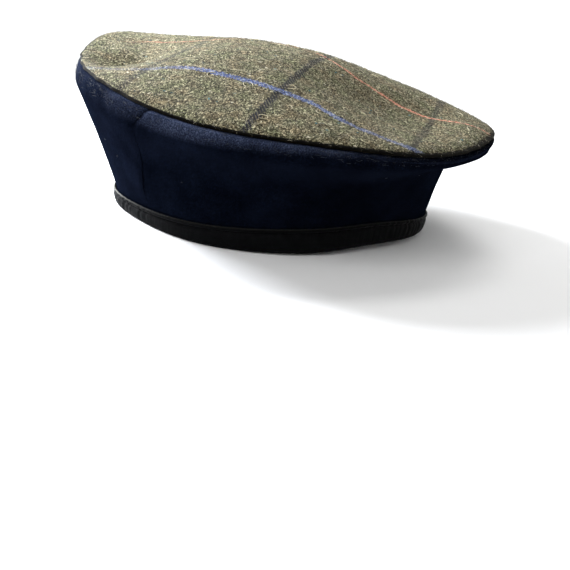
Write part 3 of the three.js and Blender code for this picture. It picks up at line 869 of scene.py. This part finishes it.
soften.render_levels = 1
bpy.ops.object.modifier_apply(modifier=soften.name)
print("binding ring:", len(leather_binding.data.polygons), "faces")

# %% Binding: press to the oval, in mm
FOOT, HEAD = 1.6, 4.4
# Gathers all round, and more of them where the strip is eased: bearing, spread in degrees, and depth.
GATHERS, GATHERS_MOST = 0.05, 0.35
WRINKLES = ((-6.0, 13.0, 0.17), (110.0, 12.0, 0.16), (235.0, 25.0, 0.15))
# Folds of the gathers: share, how much height counts against length, length, and seed.
CREASES = ((1.0, 0.18, 4.2, 41), (0.4, 0.3, 9.0, 42))
OUTER_FROM, OUTER_TO = 1.2, 0.7


def band_height(bearing, rise):
    """The strip's own height at a bearing: its foot and its rolled edge keep their size."""
    tall = seam("band_rise", bearing)
    middle = FOOT + (rise - FOOT) * (tall - FOOT - HEAD) / (SPIN_RISE - FOOT - HEAD)
    upper = np.where(rise > SPIN_RISE - HEAD, rise - SPIN_RISE + tall, middle)
    return np.maximum(seam("band_lift", bearing), 0.0) + np.where(rise < FOOT, rise, upper)


ring = points_of(leather_binding) / MM
bearings = np.degrees(np.arctan2(ring[:, 0], -ring[:, 1]))
inset = SPIN_RADIUS - np.hypot(ring[:, 0], ring[:, 1])
rise = ring[:, 2]
arc = np.radians(bearings) * SPIN_RADIUS
gathers = GATHERS + sum(depth * near(bearings, middle, spread) for middle, spread, depth in WRINKLES)
creases = sum(part * lumps(arc, rise * upright, long, seed) for part, upright, long, seed in CREASES)
wrinkle = ease(inset, OUTER_FROM, OUTER_TO) * gathers * creases
reach = seam("band_reach", bearings) - inset + np.minimum(wrinkle, GATHERS_MOST)
move_points(leather_binding, place(bearings, reach, band_height(bearings, rise)))
bpy.ops.object.shade_smooth()
top_at_front = band_height(np.zeros(1), np.array((SPIN_RISE,)))[0]
print("binding top at the front:", round(float(top_at_front), 2), "mm")

# %% Binding: painted highlight on the rolled edge
HIGHLIGHT_DROP, HIGHLIGHT_TALL = 0.45, 0.16
HIGHLIGHT_FROM, HIGHLIGHT_TO = 0.9, 0.3
HIGHLIGHT_ALL_ROUND, HIGHLIGHT_MORE, HIGHLIGHT_BEARING, HIGHLIGHT_SPREAD = 0.03, 0.5, 335.0, 17.0

# The painted highlight lies along the top of the roll, faint all round and strongest at one bearing, where
# the light grazes it.
on_roll = np.exp(-((rise - SPIN_RISE + HIGHLIGHT_DROP) / HIGHLIGHT_TALL) ** 2) * ease(inset, HIGHLIGHT_FROM, HIGHLIGHT_TO)
mark(leather_binding, "painted_roll_highlight",
     on_roll * (HIGHLIGHT_ALL_ROUND + HIGHLIGHT_MORE * near(bearings, HIGHLIGHT_BEARING, HIGHLIGHT_SPREAD)))
leather_binding.data.materials.append(leather)
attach(leather_binding, "root")
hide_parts("binding")
print("rubbed most at bearing", HIGHLIGHT_BEARING)

# %% [markdown]
# ## Loose fibres
# Wool is hairy. Single fibres stand off the tweed and off the nap of the melton, and they break up the
# outline and the seams, which bump alone can't do. A hair system would do it too, but it is no mesh. So each
# fibre is a short curve with a round bevel, seeded so that every run is the same, and the curves become one
# mesh. A real fibre is 0.03 mm thick. These are drawn three times as thick so that they show, and a few
# long pale ones thicker still.

# %% Fibre helpers
FIBRE_THICK = 0.1
DYE_LENGTH, DYE_DARK = 3.0, 0.7


def wool(name, hexed):
    """Plain dyed wool for single fibres, lighter and darker along them."""
    made, tree, output = new_material(name)
    spot = node(tree, "ShaderNodeTexCoord")
    tint = node(tree, "ShaderNodeTexNoise", {"Vector": spot.outputs["Object"],
                                             "Scale": 1 / (DYE_LENGTH * MM)})
    shade = "#" + "".join(f"{int(int(hexed[k:k + 2], 16) * DYE_DARK):02x}" for k in (1, 3, 5))
    dye = node(tree, "ShaderNodeValToRGB", {"Fac": tint.outputs["Fac"]}, stops=((0.3, shade), (0.7, hexed)))
    skin = node(tree, "ShaderNodeBsdfPrincipled", {"Base Color": dye.outputs["Color"], "Roughness": 0.8})
    tree.links.new(skin.outputs["BSDF"], output.inputs["Surface"])
    return made


def hairs(name, strands, shades):
    """One mesh of many fibres; a strand is its points in metres, the number of its shade and its girth."""
    curve = bpy.data.curves.new(name, "CURVE")
    curve.dimensions = "3D"
    curve.bevel_depth = FIBRE_THICK / 2 * MM
    curve.bevel_resolution = 0
    curve.use_fill_caps = True
    for shade in shades:
        curve.materials.append(shade)
    for points, shade, girth in strands:
        spline = curve.splines.new("POLY")
        spline.points.add(len(points) - 1)
        spline.points.foreach_set("radius", np.full(len(points), girth))
        spline.points.foreach_set("co", np.c_[points, np.ones(len(points))].ravel())
        spline.material_index = shade
    piece = bpy.data.objects.new(name, curve)
    bpy.context.collection.objects.link(piece)
    only(piece)
    bpy.ops.object.convert(target="MESH")
    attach(piece, "root")
    print(name, len(strands), "fibres,", len(piece.data.polygons), "faces")


print("fibres are drawn", FIBRE_THICK, "mm thick")

# %% Tweed fibres: over the round, in mm
TWEED_FIBRES, LONG_FIBRES = 4200, 60
SHORT_LENGTH, LONG_LENGTH = (1.6, 4.2), (4.0, 10.0)
SHORT_TURN, LONG_TURN = 1.0, 3.0
SHORT_POINTS, LONG_POINTS = 4, 9
LONG_GIRTH = 3.0
INSIDE_RIM = 0.99
FIBRE_ROOT, FIBRE_LIFT = 0.05, (0.15, 0.6)
CREAM_OLIVE_BROWN = (0.45, 0.25, 0.3)
PALE = 3

dice = np.random.default_rng(7)
strands = []
for count in range(TWEED_FIBRES):
    curly = count < LONG_FIBRES
    share = math.sqrt(dice.uniform(0, INSIDE_RIM))
    bearing = dice.uniform(0, 360)
    steps = np.linspace(-0.5, 0.5, LONG_POINTS if curly else SHORT_POINTS)
    long = dice.uniform(*(LONG_LENGTH if curly else SHORT_LENGTH))
    headings = dice.uniform(0, math.tau) + dice.normal(0, LONG_TURN if curly else SHORT_TURN) * steps
    rim = float(tweed_edge(np.array(bearing)))
    x = share * rim * math.sin(math.radians(bearing)) + long * steps * np.cos(headings)
    y = -share * rim * math.cos(math.radians(bearing)) + long * steps * np.sin(headings)
    at = np.degrees(np.arctan2(x, -y))
    reach, rise = dome(at, np.minimum(np.hypot(x, y) / tweed_edge(at), 1.0))
    lift = FIBRE_ROOT + dice.uniform(*FIBRE_LIFT) * (1 - (2 * steps) ** 2)
    shade = PALE if curly else int(dice.choice(3, p=CREAM_OLIVE_BROWN))
    strands.append((place(at, reach, rise + lift), shade, LONG_GIRTH if curly else 1.0))
print("over the round:", len(strands))

# %% Tweed fibres: at the rim, in mm
RIM_FIBRES = 2200
RIM_STEPS = np.linspace(0, 1, 4)
RIM_TURN = 0.5
RIM_SHARE, RIM_LENGTH = (0.97, 1.0), (0.4, 1.4)
RIM_OUT, RIM_UP, RIM_DROOP = (0.2, 0.9), (-0.7, 0.3), 0.3
RIM_CREAM_OLIVE_BROWN = (0.2, 0.45, 0.35)

for count in range(RIM_FIBRES):
    at = dice.uniform(0, 360) + dice.normal(0, RIM_TURN) * RIM_STEPS
    reach, rise = dome(at, np.full(len(at), dice.uniform(*RIM_SHARE)))
    out = dice.uniform(*RIM_LENGTH) * RIM_STEPS
    reach = reach + dice.uniform(*RIM_OUT) * out
    rise = rise + dice.uniform(*RIM_UP) * out - RIM_DROOP * out ** 2
    strands.append((place(at, reach, rise), int(dice.choice(3, p=RIM_CREAM_OLIVE_BROWN)), 1.0))
tweed_wools = (wool("cream wool", "#a19a83"), wool("olive wool", "#4d4a39"),
               wool("dark brown wool", "#1d1a12"), wool("pale wool", "#d8ceab"))
hairs("tweed_fibres", strands, tweed_wools)

# %% Melton fibres, in mm
MELTON_FIBRES, LINT = 1100, 14
NAP_STEPS = np.linspace(0, 1, 4)
LINT_CLIMB, NAP_CLIMB = (0.2, 0.7), (0.83, 0.95)
NAP_TURN, NAP_CLIMB_TURN = 0.7, 0.012
CLIMB_LOW, CLIMB_HIGH = 0.1, 0.95
NAP_STAND, NAP_BOW, STAND_UP = (0.15, 0.5), (0.5, 1.0), 0.3

dice = np.random.default_rng(8)
strands = []
for count in range(MELTON_FIBRES):
    lint = count < LINT
    climb = dice.uniform(*(LINT_CLIMB if lint else NAP_CLIMB))
    turned = dice.uniform(0, 360) + dice.normal(0, NAP_TURN) * NAP_STEPS
    climbs = np.clip(climb + dice.normal(0, NAP_CLIMB_TURN) * NAP_STEPS, CLIMB_LOW, CLIMB_HIGH)
    reach, rise = side(turned, climbs).T
    stand = dice.uniform(*NAP_STAND) * np.sin(NAP_STEPS * math.pi * dice.uniform(*NAP_BOW))
    strands.append((place(turned, reach + stand, rise + stand * STAND_UP), int(lint), 1.0))
melton_wools = (wool("raised navy wool", "#10151f"), wool("pale lint", "#3c3f49"))
hairs("melton_fibres", strands, melton_wools)
